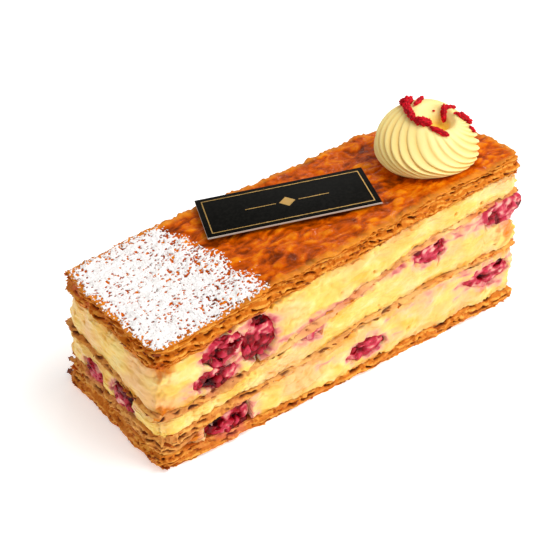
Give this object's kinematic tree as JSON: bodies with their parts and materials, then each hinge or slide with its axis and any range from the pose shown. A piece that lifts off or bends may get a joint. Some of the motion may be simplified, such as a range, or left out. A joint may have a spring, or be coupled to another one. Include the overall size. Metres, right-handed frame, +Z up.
{
  "type": "mille feuille slice",
  "caption": "Oblong slice of layered puff pastry with custard cream and red berries between the sheets, sugar dusting, a piped rosette and a blank card on top.",
  "frame": {"origin": "middle of the slice's bounding box, on the surface it rests on", "axes": "+X along the slice from its low end to its tall end with the rosette, +Y from the cut side with most berries to the other cut side, +Z up"},
  "size_m": [0.1382, 0.0536, 0.0655],
  "materials": {
    "pastry": "baked flaky puff pastry",
    "glaze": "caramelised glossy crust",
    "cream": "soft custard cream",
    "berry": "wet crushed berry",
    "piped_cream": "piped cream",
    "card": "matt black printed card"
  },
  "bodies": {
    "root": {"pastry_bottom": "pastry", "pastry_third": "pastry", "pastry_second": "pastry", "pastry_top": "glaze", "cream_lower": "cream", "cream_middle": "cream", "cream_upper": "cream", "rosette": "piped_cream", "label_card": "card", "berry_upper_1": "berry", "berry_upper_2": "berry", "berry_upper_3": "berry", "berry_upper_4": "berry", "berry_upper_5": "berry", "berry_middle_1": "berry", "berry_middle_2": "berry", "berry_middle_3": "berry", "berry_middle_4": "berry", "berry_middle_5": "berry", "berry_middle_6": "berry", "berry_lower_1": "berry", "berry_lower_2": "berry", "berry_lower_3": "berry", "berry_lower_4": "berry", "berry_lower_5": "berry"}
  },
  "joints": []
}
